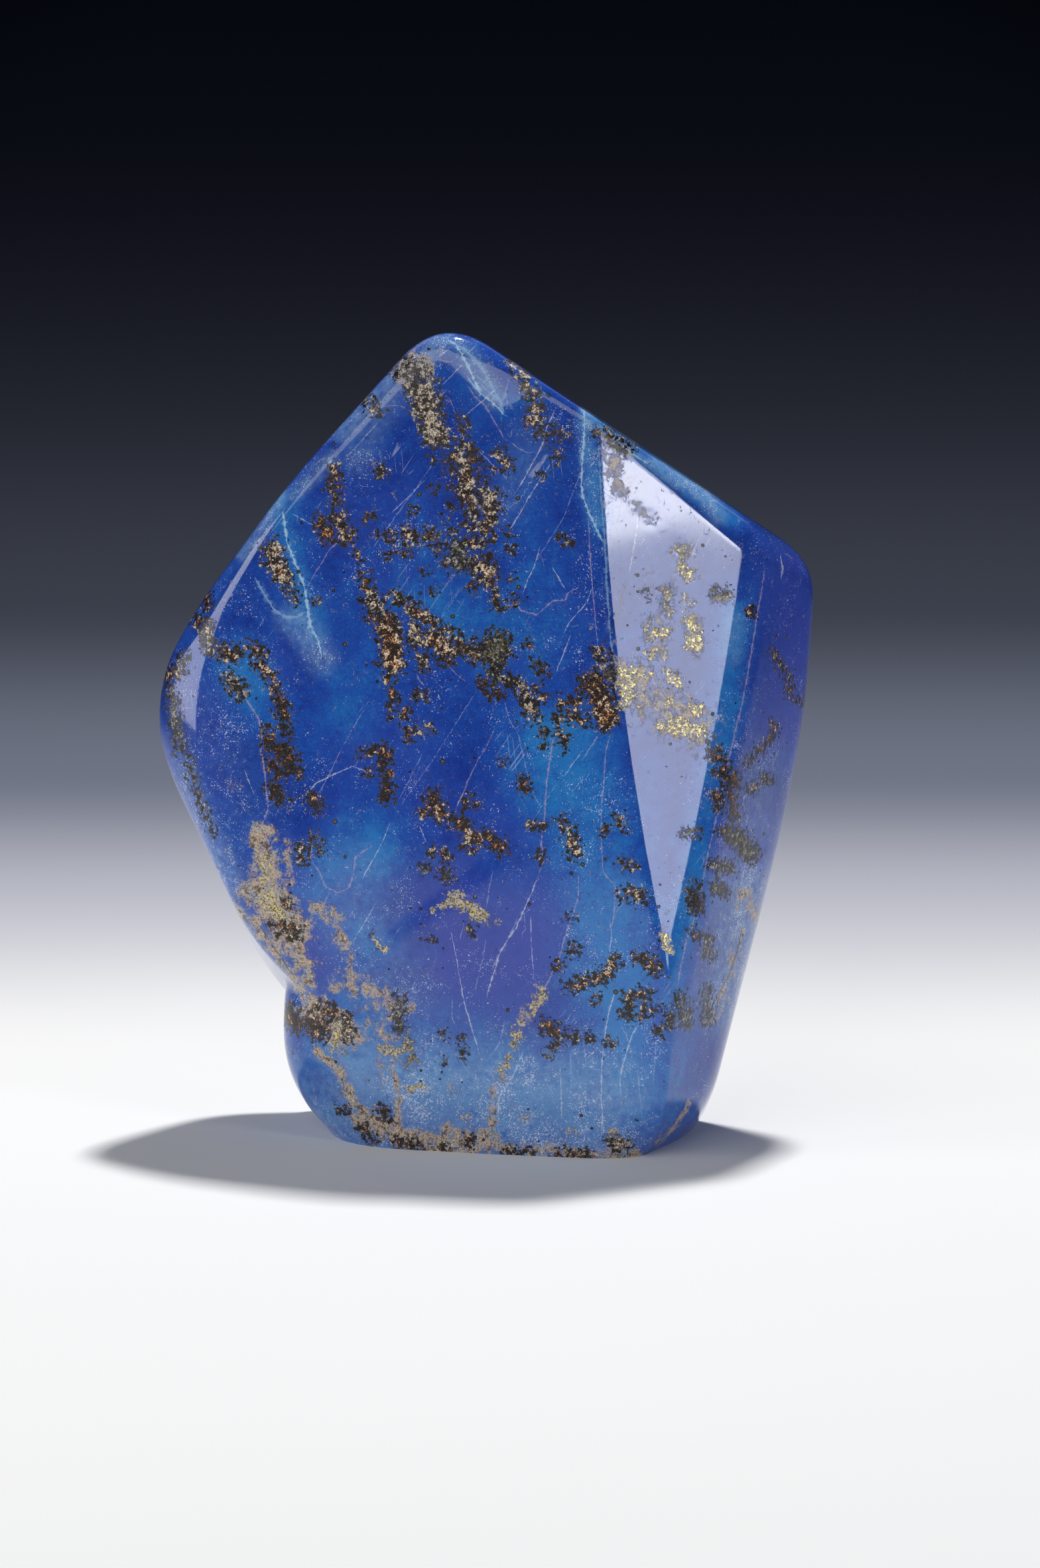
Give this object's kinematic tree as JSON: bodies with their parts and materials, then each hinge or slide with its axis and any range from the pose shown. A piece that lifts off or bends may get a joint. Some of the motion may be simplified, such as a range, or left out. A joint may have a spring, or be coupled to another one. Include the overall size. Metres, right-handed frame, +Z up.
{
  "type": "lapis lazuli freeform",
  "caption": "Polished self-standing lapis lazuli freeform: a tall angular blue stone with worn faces, a blunt tip, a rounded foot and a small flat base.",
  "frame": {"origin": "bottom centre of the stone, in the plane of its flat base", "axes": "+Z up towards the tip, +Y from the broad front face to the back, +X to the right as seen from the front"},
  "size_m": [0.1113, 0.0463, 0.1374],
  "materials": {
    "lapis": "polished"
  },
  "bodies": {
    "root": {"lapis_freeform": "lapis"}
  },
  "joints": []
}
